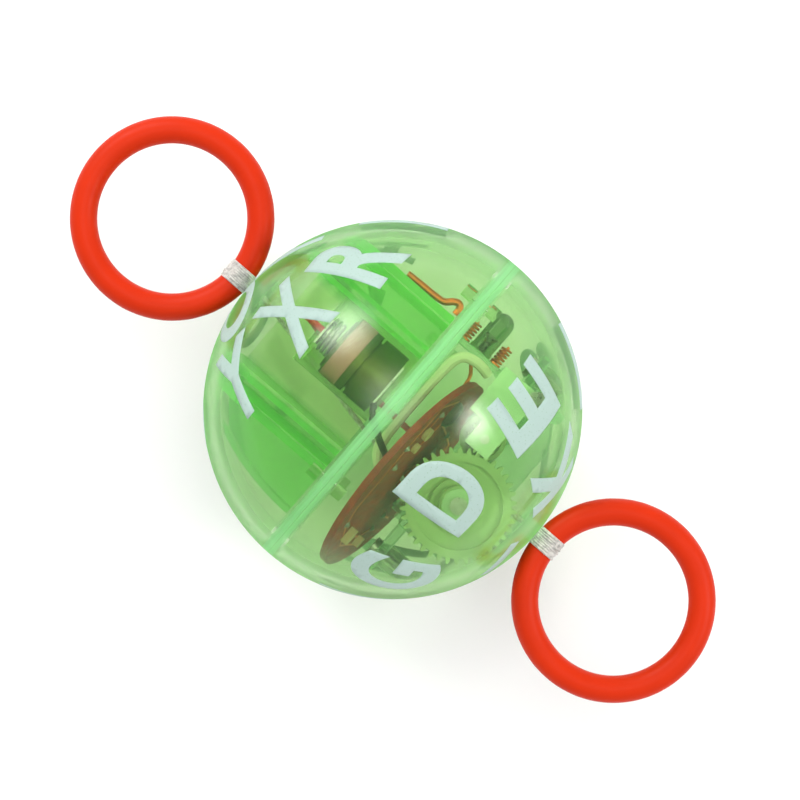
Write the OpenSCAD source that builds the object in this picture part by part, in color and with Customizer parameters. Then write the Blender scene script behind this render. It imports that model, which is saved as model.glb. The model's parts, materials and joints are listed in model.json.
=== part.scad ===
// Pull-ring light-up ball: a two-piece see-through ball on a cord with a finger ring at each end.
// Both cord ends wind on one spring-loaded spool, which turns a small geared flywheel.
// +X is the pull axis, the seam lies in the plane x = 0, and the origin is the ball's centre.

/* [Ball] */
// Outside diameter of the ball
ball_d = 65; // [50:0.5:90]
// Wall of each half shell
shell_t = 1.8; // [1.2:0.1:3]
// Width of the thick seam rim on the left half
rim_w_left = 2; // [1:0.1:4]
// Width of the thick seam rim on the right half
rim_w_right = 1.2; // [0.8:0.1:4]
// How far the rim stands in from the wall
rim_depth = 2.2; // [1:0.1:4]
// Radius of the cord outlet at each pole
outlet_r = 3.6; // [3.2:0.1:5]

/* [Rings and cord] */
// Radius of a finger ring, to the middle of its section
ring_r = 15.25; // [12:0.25:20]
// Diameter of a ring's section
ring_section = 4.7; // [3:0.1:6]
// Distance of each ring's centre from the ball's centre
ring_x = 50.2; // [46:0.1:60]
// Diameter of the cord
cord_d = 1; // [0.6:0.1:2]
// Width of the strands hitched round a ring
hitch_w = 3.7; // [2:0.1:5]
// Thickness of a hitched strand
strand_t = 0.6; // [0.4:0.05:1]

/* [Spool and gears] */
// Spool axis, along the pull axis
spool_x = 19; // [16:0.1:20]
// Radius at which the cord leaves the spool
wind_r = 5; // [4:0.1:6]
// Radius of the spool's flanges
flange_r = 7; // [6:0.1:8]
// Gear module
gear_m = 0.5; // [0.4:0.05:0.8]
// Teeth on the spool gear
gear_teeth = 38; // [30:1:40]
// Teeth on the pinion
pinion_teeth = 10; // [8:1:14]
// Direction of the pinion from the spool, in degrees
mesh_angle = 110; // [90:1:130]
// Radius of the flywheel
flywheel_r = 4; // [3:0.1:4.5]
// Radius of the fixed spool shaft
shaft_r = 1.5; // [1:0.1:2]
// Radius of the fixed pinion pin
pin_r = 0.8; // [0.6:0.05:1]
// Running clearance on radius
run_gap = 0.06; // [0.02:0.01:0.1]

/* [Light and power] */
// Radius of the circuit board
board_r = 20.2; // [14:0.1:21]
// Thickness of the circuit board
board_t = 1.2; // [0.8:0.1:2]
// Lean of the circuit board, in degrees
board_lean = 12; // [0:1:15]
// Radius of a button cell
cell_r = 5.8; // [4:0.1:6.5]
// Thickness of a button cell
cell_t = 5.4; // [3:0.1:6]
// Radius of the light's lens
lens_r = 2; // [1.5:0.1:2.5]

/* [Hidden] */
$fn = 72;
ball_r = ball_d / 2;
inner_r = ball_r - shell_t;
fit_gap = 0.3;
fit_r = inner_r - fit_gap;
post_angles = [40, 122, 236, 300];
post_r = 1.1;
post_in = 1.5;
tube_r = ring_section / 2;
tube_x = ring_x - ring_r;
hitch_r = tube_r + 0.25 + strand_t / 2;
recess_r = outlet_r - 0.65;
bore_r = 1.4;
outlet_in = 29.4;
outlet_out = 32.1;
recess_floor = tube_x - hitch_r - strand_t / 2 - 0.35;
spool_y = -wind_r;
pitch_r = gear_m * gear_teeth / 2;
pinion_r = gear_m * pinion_teeth / 2;
mesh_d = pitch_r + pinion_r + 0.05;
pinion_x = spool_x + mesh_d * cos(mesh_angle);
pinion_y = spool_y + mesh_d * sin(mesh_angle);
gear_z = 4;
gear_h = 2;
deck_z = -9.5;
deck_t = 1.4;
cup_r = 7.5;
cup_top = -3.7;
board_x = 8.6;
board_y = -7.3;
wall_t = 1.6;
wall_y = 16.2;
wall_top = 8.6;
bridge_at = [17.2, wall_y + 0.4];
boss_x = 15.65;
boss_r = 2.3;
pilot_r = 0.9;
boss_hi = [21.6, -7];
boss_lo = [-20.5, -7];
slot_len = 1.15;
slot_w = 0.2;
hub_r = 3.4;
spool_half = 3;
flange_t = 0.8;
cage_top = 19;
cage_low_top = 17;
cage_end = -2.2;
cell_y = 2.45;
cell_z = 8.2;
cell_x = -3.4 - 2 * cell_t;
box_floor = 1.4;
cage_floor = -13;
wing_r = 55;
wing_low = -26;
wing_z = -9;
wing_lip = 5;
wire_r = 0.6;
led_x = 4.7;
led_z = 3;
big = 100;

shell_green = [0.56, 0.86, 0.52, 0.35];
cage_green = [0.25, 0.8, 0.28, 0.55];
frame_green = [0.2, 0.68, 0.3, 0.6];
pale_green = [0.68, 0.93, 0.72, 0.6];
cream = [0.88, 0.86, 0.7];
cord_white = [0.9, 0.9, 0.88];
ring_orange = [0.91, 0.2, 0.07];
board_brown = [0.42, 0.13, 0.07];
metal_grey = [0.6, 0.6, 0.56];
copper = [0.75, 0.36, 0.14];

// ---- helpers ----

// A rod of radius r along X from x0 to x1.
module rod_x(x0, x1, y, z, r) {
  translate([x0, y, z]) rotate([0, 90, 0]) cylinder(h = x1 - x0, r = r);
}

// A rod of radius r along Z from z0 to z1.
module rod_z(x, y, z0, z1, r) {
  translate([x, y, z0]) cylinder(h = z1 - z0, r = r);
}

// A block between two corners.
module block(low, high) {
  translate(low) cube(high - low);
}

module on_left() {
  mirror([1, 0, 0]) children();
}

// One point of a round wire's surface at section i, with the section squared to the path.
function wire_dir(p, i) =
  let (a = p[max(i - 1, 0)], b = p[min(i + 1, len(p) - 1)])
  (b - a) / norm(b - a);
function wire_side(p, i, up) =
  let (c = cross(wire_dir(p, i), up))
  c / norm(c);
function wire_ring(p, i, up, r, n) =
  let (s = wire_side(p, i, up), w = cross(s, wire_dir(p, i)))
  [for (k = [0 : n - 1]) p[i] + r * cos(360 * k / n) * s + r * sin(360 * k / n) * w];

// A round wire of radius r along the points p. The path never runs along up.
module wire(p, r, up = [0, 0, 1], n = 10) {
  m = len(p);
  pts = [for (i = [0 : m - 1]) each wire_ring(p, i, up, r, n)];
  sides = [for (i = [0 : m - 2]) for (k = [0 : n - 1])
    [i * n + k, i * n + (k + 1) % n, (i + 1) * n + (k + 1) % n, (i + 1) * n + k]];
  first = [[for (k = [n - 1 : -1 : 0]) k]];
  last = [[for (k = [0 : n - 1]) (m - 1) * n + k]];
  polyhedron(points = pts, faces = concat(sides, first, last), convexity = 6);
}

// A smooth path through control points: each span of a Catmull-Rom curve is cut into steps.
function knot_at(c, i) = c[min(max(i, 0), len(c) - 1)];
function curve_at(c, i, t) =
  let (a = knot_at(c, i - 1), b = knot_at(c, i), d = knot_at(c, i + 1), e = knot_at(c, i + 2))
  0.5 * (2 * b + (d - a) * t + (2 * a - 5 * b + 4 * d - e) * t * t
    + (3 * b - a - 3 * d + e) * t * t * t);
function curve(c, steps) =
  [for (k = [0 : (len(c) - 1) * steps]) curve_at(c, floor(k / steps), k / steps - floor(k / steps))];

// A helix about Z at the origin.
function helix(r, turns, h, steps) =
  [for (k = [0 : turns * steps])
    [r * cos(360 * k / steps), r * sin(360 * k / steps), h * k / (turns * steps)]];

// Involute gear outline. thin is taken off each flank, in degrees.
function inv_deg(r, rb) = tan(acos(min(rb / r, 1))) * 180 / PI - acos(min(rb / r, 1));
function half_tooth(z, r, thin) =
  let (rb = gear_m * z / 2 * cos(20))
  90 / z + inv_deg(gear_m * z / 2, rb) - inv_deg(max(r, rb), rb) - thin;
function polar(r, a) = [r * cos(a), r * sin(a)];
function tooth(z, mid, thin) =
  let (rp = gear_m * z / 2, r0 = rp - 1.1 * gear_m, rb = max(rp * cos(20), r0 + 0.1), r3 = rp + 0.8 * gear_m)
  let (rs = [rb, (2 * rb + r3) / 3, (rb + 2 * r3) / 3, r3])
  [polar(r0, mid - 0.75 * half_tooth(z, rb, thin)),
   for (r = rs) polar(r, mid - half_tooth(z, r, thin)),
   for (k = [3 : -1 : 0]) polar(rs[k], mid + half_tooth(z, rs[k], thin)),
   polar(r0, mid + 0.75 * half_tooth(z, rb, thin))];
module gear_outline(z, first, thin) {
  polygon([for (i = [0 : z - 1]) each tooth(z, first + i * 360 / z, thin)]);
}

// Places children in the circuit board's own frame: X is its normal, the origin its centre.
module at_board() {
  translate([board_x, board_y, 0]) rotate([0, -board_lean, 0]) children();
}

// ---- ball shells ----

// Half of the shell's section, with its seam rim and pole opening: x is the radius, y the pull axis.
module shell_section(rim_w) {
  difference() {
    union() {
      difference() {
        circle(r = ball_r, $fn = 180);
        circle(r = inner_r, $fn = 180);
      }
      translate([inner_r - rim_depth, 0]) square([rim_depth + 0.5, rim_w]);
    }
    translate([-big, -big]) square([2 * big, big]);
    translate([-big, -big]) square([big, 2 * big]);
    translate([-1, inner_r - 4]) square([outlet_r + 1.05, big]);
  }
}

module half_shell(rim_w) {
  rotate([0, 90, 0]) rotate_extrude($fn = 180) shell_section(rim_w);
}

// A seam pin post on the rim at the angle a round the pull axis.
module seam_post(a, len) {
  rotate([a, 0, 0]) rod_x(0, len, inner_r - post_in, 0, post_r);
}

module left_shell() {
  color(shell_green) on_left() {
    half_shell(rim_w_left);
    for (a = post_angles) seam_post(a, 4);
  }
}

// A screw boss on the inside of the right shell.
module screw_boss(at) {
  intersection() {
    rod_x(boss_x, 23, at[0], at[1], boss_r);
    sphere(r = inner_r + 0.6, $fn = 180);
  }
}

// The pilot hole of a screw boss.
module screw_pilot(at) {
  rod_x(boss_x - 1, 21, at[0], at[1], pilot_r);
}

module right_shell() {
  color(shell_green) difference() {
    union() {
      half_shell(rim_w_right);
      for (a = post_angles) seam_post(a, 3);
      screw_boss(boss_hi);
      screw_boss(boss_lo);
    }
    screw_pilot(boss_hi);
    screw_pilot(boss_lo);
  }
}

// The cord outlet set in a pole: a bore with a round recess that takes the hitch.
module outlet() {
  difference() {
    rod_x(outlet_in, outlet_out, 0, 0, outlet_r);
    rod_x(outlet_in - 1, outlet_out, 0, 0, bore_r);
    rod_x(recess_floor, outlet_out + 1, 0, 0, recess_r);
    translate([outlet_in - 0.01, 0, 0]) rotate([0, 90, 0])
      cylinder(h = 0.6, r1 = bore_r + 0.6, r2 = bore_r);
  }
}

module left_outlet() {
  color(pale_green) on_left() outlet();
}

module right_outlet() {
  color(pale_green) outlet();
}

// ---- left half: power ----

// A lengthwise wall of the cage, with its lower face at y.
module cage_wall(y, top) {
  block([-28, y, cage_floor - 4], [cage_end, y + wall_t, top]);
}

module battery_cage() {
  color(cage_green) intersection() {
    sphere(r = fit_r, $fn = 180);
    union() {
      cage_wall(16.4, cage_low_top);
      cage_wall(9.9, cage_top);
      cage_wall(-11.7, cage_top);
      cage_wall(-15.6, cage_low_top);
      block([-26, -15.6, cage_floor], [cage_end, 18, cage_floor + wall_t]);
      block([-16, 1.5, cage_floor + wall_t], [-4.5, 7.5, box_floor]);
    }
  }
}

module battery_box() {
  color(cage_green) difference() {
    block([cell_x - 4, cell_y - cell_r - 1, box_floor], [cage_end, cell_y + cell_r + 1, cell_z + 2.5]);
    block([cell_x - 3.1, cell_y - cell_r - 0.1, box_floor + 1], [-2.9, cell_y + cell_r + 0.1, big]);
  }
}

// A button cell whose inner face is at x, with the small terminal facing -X.
module button_cell(x) {
  color(metal_grey) difference() {
    union() {
      rod_x(x + 0.5, x + cell_t, cell_y, cell_z, cell_r);
      rod_x(x, x + 0.5, cell_y, cell_z, cell_r - 1);
    }
    difference() {
      rod_x(x + 1, x + 1.25, cell_y, cell_z, cell_r + 1);
      rod_x(x + 0.9, x + 1.35, cell_y, cell_z, cell_r - 0.15);
    }
  }
}

module cell_outer() {
  button_cell(cell_x);
}

module cell_inner() {
  button_cell(cell_x + cell_t);
}

module contact_spring() {
  color(metal_grey) {
    translate([cell_x - 2.75, cell_y, cell_z]) rotate([0, 90, 0])
      wire(helix(3, 3, 2.4, 20), 0.3, [0, 0, 1], 8);
    block([cell_x - 3.05, cell_y - 2.5, cell_z - 3.5], [cell_x - 2.7, cell_y + 2.5, cell_z + 5.4]);
  }
}

module contact_plate() {
  color(metal_grey) {
    block([-3.35, cell_y - 4, cell_z - 4], [-3.05, cell_y + 4, cell_z + 4]);
    block([-3.35, cell_y - 4.5, cell_z + 3], [-3.05, cell_y - 2.5, cell_z + 5.5]);
  }
}

module red_wire() {
  route = curve([[-17.3, 2.4, 13], [-18.8, 2.4, 13], [-20.2, 2.4, 12], [-20.9, 2.4, 9], [-20.6, 2.4, 4],
                 [-19, 2, -0.4], [-16, 0.8, -2.8], [-12, -0.2, -3.4], [-6, -0.4, -3.6], [2, -0.8, -3.8],
                 [8.5, -1, -4]], 8);
  color([0.8, 0.1, 0.08]) wire(route, wire_r, [0, 1, 0]);
}

module black_wire() {
  route = curve([[-3, -1.4, 14.3], [-1.6, -3, 15.6], [1.4, -5, 15.4], [4, -6.4, 13.4],
                 [4.9, -7, 12.4]], 8);
  color([0.08, 0.08, 0.08]) wire(route, wire_r);
}

module white_wire() {
  route = curve([[8.2, 15, 6.2], [5.4, 15.2, 8.2], [3, 14.2, 9], [2.1, 11, 9], [1.9, 4, 9],
                 [2, -3, 9], [2.6, -6.6, 8.6], [4.4, -8.6, 8], [6, -9.2, 7.6]], 8);
  color(cream) wire(route, 0.9);
}

module copper_lead() {
  route = curve([[-13, 18.9, 7.8], [-10, 19, 8], [-6.6, 19.1, 8.4], [-5.2, 19.4, 8.4],
                 [-4.2, 20.3, 8.4], [-3.2, 20.7, 8.4], [-2.6, 19.9, 8.4], [-2.6, 18.9, 8.4]], 8);
  color(copper) wire(route, wire_r);
}

// A flat web beside the cage, with a curved lip along its outer edge.
module left_wing() {
  color(cage_green) intersection() {
    sphere(r = fit_r, $fn = 180);
    block([-28, -30, wing_z], [-2.4, -15.9, wing_z + wing_lip]);
    difference() {
      rod_z(-1.2, wing_r + wing_low, wing_z, big, wing_r, $fn = 180);
      rod_z(-1.2, wing_r + wing_low, wing_z + 1.2, 2 * big, wing_r - 1.1, $fn = 180);
    }
  }
}

// ---- right half: frame, spring and gears ----

// The ear that a frame screw goes through.
module frame_ear(at, y0, y1) {
  difference() {
    block([boss_x - 1.65, y0, deck_z - deck_t], [boss_x - 0.05, y1, -3]);
    rod_x(boss_x - 3, boss_x + 1, at[0], at[1], 1.1);
  }
}

// A peg that the circuit board sits on, cut square to the board.
module board_peg(y) {
  difference() {
    rod_x(board_x, 13.5, y, deck_z - 0.4, 1.4);
    at_board() block([-6, -40, -40], [board_t / 2 + 0.03, 40, 40]);
  }
}

module mech_frame() {
  color(frame_green) intersection() {
    sphere(r = fit_r, $fn = 180);
    difference() {
      union() {
        block([12.6, -14.2, deck_z - deck_t], [26, wall_y + wall_t, deck_z]);
        block([9.6, wall_y, deck_z - deck_t], [22.5, wall_y + wall_t, wall_top]);
        block([13.6, -14.2, deck_z - deck_t], [22.5, -12.7, 3.2]);
        block([0.4, wall_y - 0.2, 0], [9.8, wall_y + 0.8, 6]);
        frame_ear(boss_hi, wall_y + 0.8, 24.6);
        frame_ear(boss_lo, -23.6, -13.4);
        rod_z(pinion_x, pinion_y, deck_z - 0.4, 0.3, 2);
        rod_z(bridge_at[0], bridge_at[1], deck_z - 0.4, wall_top, 1.9);
        board_peg(8);
        board_peg(-12);
      }
      rod_z(spool_x, spool_y, deck_z - 2, deck_z + 1, shaft_r);
      rod_z(pinion_x, pinion_y, deck_z - 2, 1, pin_r);
      rod_z(bridge_at[0], bridge_at[1], 2, wall_top + 1, 0.8);
    }
  }
}

module spring_cup() {
  color(pale_green) difference() {
    rod_z(spool_x, spool_y, deck_z + 0.02, cup_top, cup_r);
    rod_z(spool_x, spool_y, deck_z + 0.9, cup_top + 1, cup_r - 0.9);
    rod_z(spool_x, spool_y, deck_z - 1, deck_z + 2, shaft_r);
  }
}

// The flat spiral return spring between the spool's arbor and the cup.
module mainspring() {
  turns = 5;
  steps = 150;
  r0 = 2.9;
  r1 = cup_r - 1.2;
  strip = 0.22;
  outer = [for (k = [0 : steps]) polar(r0 + (r1 - r0) * k / steps + strip, 360 * turns * k / steps)];
  inner = [for (k = [steps : -1 : 0]) polar(r0 + (r1 - r0) * k / steps, 360 * turns * k / steps)];
  color(metal_grey) translate([spool_x, spool_y, deck_z + 1.1]) linear_extrude(height = 4)
    polygon(concat(outer, inner));
}

module spool_shaft() {
  color(metal_grey) rod_z(spool_x, spool_y, deck_z - deck_t, 8.4, shaft_r);
}

module shaft_cap() {
  color(pale_green) difference() {
    rod_z(spool_x, spool_y, 7, 8.2, 2.9);
    rod_z(spool_x, spool_y, 6, 9, shaft_r);
  }
}

module pinion_pin() {
  color(metal_grey) rod_z(pinion_x, pinion_y, deck_z - deck_t, wall_top + 1.4, pin_r);
}

module pinion_bridge() {
  color(pale_green) difference() {
    union() {
      block([9.6, 13.6, wall_top + 0.02], [19.4, wall_y + wall_t, wall_top + 1.2]);
      block([pinion_x - 2.4, pinion_y - 2.4, wall_top + 0.02], [pinion_x + 2.4, 13.8, wall_top + 1.2]);
      block([9.6, 8.6, wall_top + 0.02], [pinion_x - 2.2, 13.8, wall_top + 1.2]);
    }
    rod_z(pinion_x, pinion_y, wall_top - 1, wall_top + 2, pin_r);
    rod_z(bridge_at[0], bridge_at[1], wall_top - 1, wall_top + 2, 1);
  }
}

module bridge_screw() {
  color(metal_grey) translate([bridge_at[0], bridge_at[1], wall_top]) difference() {
    union() {
      rod_z(0, 0, 3 - wall_top, 1.3, 0.78);
      rod_z(0, 0, 1.22, 2.3, 1.7);
    }
    block([-slot_len, -slot_w, 1.7], [slot_len, slot_w, 3]);
    block([-slot_w, -slot_len, 1.7], [slot_w, slot_len, 3]);
  }
}

// One of the screws that hold the frame to the right shell.
module frame_screw(at) {
  head_x = boss_x - 1.67;
  difference() {
    union() {
      rod_x(head_x, 20.4, at[0], at[1], 0.85);
      rod_x(head_x - 1.1, head_x, at[0], at[1], 1.9);
    }
    block([head_x - 2, at[0] - slot_len, at[1] - slot_w], [head_x - 0.5, at[0] + slot_len, at[1] + slot_w]);
    block([head_x - 2, at[0] - slot_w, at[1] - slot_len], [head_x - 0.5, at[0] + slot_w, at[1] + slot_len]);
  }
}

module frame_screws() {
  color(metal_grey) {
    frame_screw(boss_hi);
    frame_screw(boss_lo);
  }
}

// ---- circuit ----

module circuit_board() {
  color(board_brown) at_board() difference() {
    rod_x(-board_t / 2, board_t / 2, 0, 0, board_r, $fn = 120);
    rod_x(-2, 2, 0, 0, 2.6);
    for (y = [-12, 12]) rod_x(-2, 2, y, 12, 0.5);
    for (y = [-3, 0, 3]) rod_x(-2, 2, y - 8, -8, 0.4);
  }
}

// The dark resin drop over the chip, on the side that faces the spool.
module chip_blob() {
  color([0.1, 0.08, 0.06]) at_board() translate([board_t / 2 + 0.01, 13.2, 6]) rotate([0, 90, 0])
    rotate_extrude() polygon([[0, 0], [2.6, 0], [2.45, 0.5], [1.9, 1], [1, 1.25], [0, 1.3]]);
}

module board_parts() {
  face = board_t / 2 + 0.01;
  color([0.75, 0.62, 0.4]) at_board() {
    translate([face, -15, 6]) cube([1.2, 3, 1.6]);
    translate([face, -15, -4]) cube([1.1, 2, 1.2]);
    rod_x(face, board_t / 2 + 0.8, 8, 12, 1.2);
    rod_x(face, board_t / 2 + 0.8, 5, 12, 0.9);
    rod_x(-board_t / 2 - 1.1, -face, -3.8, 3, 0.9);
  }
}

module led() {
  base = wall_y + 0.82;
  color([0.12, 0.38, 0.14, 0.8]) {
    translate([led_x, base, led_z]) rotate([-90, 0, 0]) cylinder(h = 6.1, r = lens_r);
    translate([led_x, base, led_z]) rotate([-90, 0, 0]) cylinder(h = 0.8, r = lens_r + 0.15);
    translate([led_x, base + 6.1, led_z]) sphere(r = lens_r, $fn = 48);
  }
}

// The two bent legs of the light, from below its shelf to the board.
module led_lead(z) {
  route = curve([[led_x, wall_y - 0.22, z], [led_x + 0.2, wall_y - 1.4, z], [6.2, 13, z],
                 [7.4 - 0.2 * z, 10.5, z]], 6);
  wire(route, 0.3, [0, 0, 1], 8);
}

module led_leads() {
  color(copper) {
    led_lead(led_z - 1.2);
    led_lead(led_z + 1.2);
  }
}

// A shake switch: a soft coil round a fixed pin.
module shake_switch(x) {
  translate([x, wall_y + 0.82, led_z]) rotate([-90, 0, 0]) {
    translate([0, 0, 0.3]) wire(helix(0.85, 5, 3.2, 14), 0.22, [0, 0, 1], 6);
    cylinder(h = 4, r = 0.25, $fn = 24);
    cylinder(h = 0.4, r = 1.05, $fn = 36);
  }
}

module vibration_springs() {
  color(copper) {
    shake_switch(led_x - 3.35);
    shake_switch(led_x + 3.35);
  }
}

// ---- moving parts inside ----

module spool() {
  color(cream) difference() {
    union() {
      rod_z(spool_x, spool_y, -spool_half, 6.8, hub_r);
      rod_z(spool_x, spool_y, spool_half - flange_t, spool_half, flange_r);
      rod_z(spool_x, spool_y, -spool_half, flange_t - spool_half, flange_r);
      rod_z(spool_x, spool_y, deck_z + 1.2, -spool_half, 2.4);
    }
    rod_z(spool_x, spool_y, -20, 20, shaft_r + run_gap);
  }
}

module spool_gear() {
  color(cream) translate([spool_x, spool_y, gear_z]) difference() {
    linear_extrude(height = gear_h) gear_outline(gear_teeth, mesh_angle, 0.4);
    translate([0, 0, -1]) cylinder(h = gear_h + 2, r = hub_r + 0.02);
    translate([0, 0, gear_h - 0.6]) difference() {
      cylinder(h = 2, r = pitch_r - 2);
      translate([0, 0, -1]) cylinder(h = 4, r = 4.8);
    }
  }
}

module cord_windings() {
  color(cord_white) translate([spool_x, spool_y, 0]) rotate_extrude() {
    translate([hub_r + 0.02, -2.1]) square([0.5, 4.2]);
    for (z = [-1.6 : 0.8 : 1.6]) translate([3.9, z]) circle(r = 0.45, $fn = 20);
  }
}

module pinion() {
  color(cream) translate([pinion_x, pinion_y, 0]) difference() {
    union() {
      translate([0, 0, 3.3]) linear_extrude(height = 3.1)
        gear_outline(pinion_teeth, mesh_angle + 180 + 180 / pinion_teeth, 2.4);
      translate([0, 0, 6.3]) cylinder(h = 2.1, r = 1.6);
    }
    translate([0, 0, -1]) cylinder(h = 12, r = pin_r + run_gap);
  }
}

module flywheel() {
  color(cream) translate([pinion_x, pinion_y, 0.6]) difference() {
    cylinder(h = 2.68, r = flywheel_r);
    translate([0, 0, -1]) cylinder(h = 5, r = pin_r + run_gap);
    translate([0, 0, 1.9]) difference() {
      cylinder(h = 2, r = flywheel_r - 0.8);
      translate([0, 0, -1]) cylinder(h = 4, r = 1.8);
    }
  }
}

// ---- cord and rings ----

module left_cord_run() {
  y0 = spool_y - wind_r;
  end_x = outlet_in + 0.2;
  route = [for (k = [0 : 24]) [spool_x + (-end_x - spool_x) * k / 24, y0 * (1 - k / 24), 0]];
  color(cord_white) wire(route, cord_d / 2, [0, 0, 1], 12);
}

module right_cord_run() {
  color(cord_white) rod_x(spool_x, outlet_in + 0.2, 0, 0, cord_d / 2);
}

module cord_knot() {
  x0 = outlet_in + 0.5;
  translate([x0, 0, 0]) rotate([0, 90, 0]) rotate_extrude()
    polygon([[0, 0], [0.55, 0], [0.95, 0.35], [1, 0.65], [0.95, 0.95], [0.6, 1.25], [0, 1.25]]);
}

module left_knot() {
  color(cord_white) on_left() cord_knot();
}

module right_knot() {
  color(cord_white) cord_knot();
}

// Parallel strands hitched round a ring's section.
module hitch() {
  strands = 4;
  pitch = hitch_w / strands;
  translate([tube_x, 0, 0]) rotate([90, 0, 0]) rotate_extrude()
    for (k = [0 : strands - 1]) translate([hitch_r, (k - (strands - 1) / 2) * pitch])
      scale([strand_t / 2, pitch * 0.53]) circle(r = 1, $fn = 24);
}

module left_hitch() {
  color(cord_white) on_left() hitch();
}

module right_hitch() {
  color(cord_white) hitch();
}

module finger_ring() {
  translate([ring_x, 0, 0]) rotate_extrude($fn = 144) translate([ring_r, 0])
    circle(r = tube_r, $fn = 48);
}

module left_ring() {
  color(ring_orange) on_left() finger_ring();
}

module right_ring() {
  color(ring_orange) finger_ring();
}

// ---- what is drawn ----

left_shell();
right_shell();
left_outlet();
right_outlet();
battery_cage();
battery_box();
cell_outer();
cell_inner();
contact_spring();
contact_plate();
red_wire();
black_wire();
white_wire();
copper_lead();
left_wing();
mech_frame();
spring_cup();
mainspring();
spool_shaft();
shaft_cap();
pinion_pin();
pinion_bridge();
bridge_screw();
frame_screws();
circuit_board();
chip_blob();
board_parts();
led();
led_leads();
vibration_springs();
spool();
spool_gear();
cord_windings();
pinion();
flywheel();
left_cord_run();
left_knot();
left_hitch();
left_ring();
right_cord_run();
right_knot();
right_hitch();
right_ring();
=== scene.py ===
"""Looks of the pull-ring light-up ball: clear green shells, printed letters, the works, cords and rings."""

import json
import math
import random

import bmesh
import bpy
from mathutils import Matrix, Vector


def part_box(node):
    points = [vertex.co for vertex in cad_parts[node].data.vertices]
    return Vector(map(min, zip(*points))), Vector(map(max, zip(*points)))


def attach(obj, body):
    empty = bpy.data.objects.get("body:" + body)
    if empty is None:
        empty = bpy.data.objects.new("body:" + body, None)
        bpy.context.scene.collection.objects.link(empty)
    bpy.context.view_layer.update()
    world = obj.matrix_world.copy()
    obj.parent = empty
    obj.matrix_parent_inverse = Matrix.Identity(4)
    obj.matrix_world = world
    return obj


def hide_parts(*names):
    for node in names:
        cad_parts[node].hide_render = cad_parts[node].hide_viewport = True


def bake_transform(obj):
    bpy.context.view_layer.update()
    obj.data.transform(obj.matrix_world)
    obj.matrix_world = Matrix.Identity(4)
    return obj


MM = 0.001
TURN = 2 * math.pi
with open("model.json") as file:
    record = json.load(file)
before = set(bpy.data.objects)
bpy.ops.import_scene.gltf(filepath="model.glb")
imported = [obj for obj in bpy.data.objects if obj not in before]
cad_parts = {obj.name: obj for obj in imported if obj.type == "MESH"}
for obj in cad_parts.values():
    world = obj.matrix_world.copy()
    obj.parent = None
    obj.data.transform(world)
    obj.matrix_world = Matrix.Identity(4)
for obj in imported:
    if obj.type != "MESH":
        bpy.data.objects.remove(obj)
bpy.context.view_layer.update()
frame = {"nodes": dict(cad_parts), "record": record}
nodes = frame["nodes"]
joints = {j["name"]: j for j in frame["record"]["behaviour"]["joints"]}

# ---- sizes taken from the frame ----


def size_of(name):
    """How long, deep and high the node's box is."""
    low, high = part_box(name)
    return Vector(high) - Vector(low)


def middle_of(name):
    """The middle of the node's box."""
    low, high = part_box(name)
    return (Vector(high) + Vector(low)) / 2


BALL_R = size_of("right_shell").y / 2
TUBE_R = size_of("right_ring").z / 2  # radius of a ring's section
RING_X = middle_of("right_ring").x
RING_R = size_of("right_ring").x / 2 - TUBE_R
TUBE_X = RING_X - RING_R  # where the hitch goes round the ring
HITCH_W = size_of("right_hitch").y
OUTLET_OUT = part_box("right_outlet")[1][0]
CORD_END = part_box("right_cord_run")[1][0]
CORD_R = size_of("right_cord_run").z / 2
KNOT_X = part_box("right_knot")[0][0]
PULL = joints["right_pull"]["range_m"][1]
SPOOL = middle_of("cord_windings")
WIND_R = -SPOOL.y  # the right-hand cord leaves the spool on the pull axis
LAY_R = size_of("cord_windings").x / 2 - CORD_R
LAY_H = size_of("cord_windings").z
CELL = middle_of("cell_outer")
CELL_R = size_of("cell_outer").z / 2
CELL_T = size_of("cell_outer").x
# The cage's thin middle, between its two thick sides.
CAGE_MIDDLE = (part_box("battery_cage")[0][1] + 4.6 * MM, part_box("battery_cage")[1][1] - 8 * MM)
BOARD = middle_of("circuit_board")
BOARD_T = 1.2 * MM
BOARD_LEAN = math.radians(12)
BOARD_OUT = Vector((math.cos(BOARD_LEAN), 0, math.sin(BOARD_LEAN)))  # the way the board's right face looks

# ---- camera, light and floor ----

PULL_ANGLE = math.radians(40.9)  # the pull axis points down and to the right by this much
LENS = 100
SENSOR = 36
VIEW_W = 137.6 * MM  # width seen in the plane of the pull axis
AIM = Vector((-0.14, 2.05, 0)) * MM  # the point in the middle of the view
NEAREST = 10 * MM  # the camera sees nothing nearer than this
SKY = 0.76  # how bright the white room is
GLOW = 3  # how much brighter than even a softbox is in its middle
# Each softbox: its place, its width in metres and its power in watts.
SOFTBOXES = {
    "key": ((-0.46, 0.16, 0.32), 0.44, 1.9),
    "fill": ((0.38, 0.24, 0.38), 0.32, 1.3),
    "top": ((-0.05, 0.05, 0.60), 0.50, 0.8),
}
FLOOR_HALF = 1.6
FLOOR_DROP = 0.2 * MM
FLOOR_GREY = 0.95


def make_camera():
    """The camera looks straight down, and is rolled so that the pull axis slants."""
    right = Vector((math.cos(PULL_ANGLE), math.sin(PULL_ANGLE), 0))
    up = Vector((-math.sin(PULL_ANGLE), math.cos(PULL_ANGLE), 0))
    data = bpy.data.cameras.new("camera")
    data.lens = LENS
    data.sensor_width = SENSOR
    data.clip_start = NEAREST
    camera = bpy.data.objects.new("camera", data)
    bpy.context.collection.objects.link(camera)
    turn = Matrix((right, up, Vector((0, 0, 1)))).transposed().to_4x4()
    camera.matrix_world = Matrix.Translation(AIM + Vector((0, 0, VIEW_W * LENS / SENSOR))) @ turn
    bpy.context.scene.camera = camera


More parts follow.
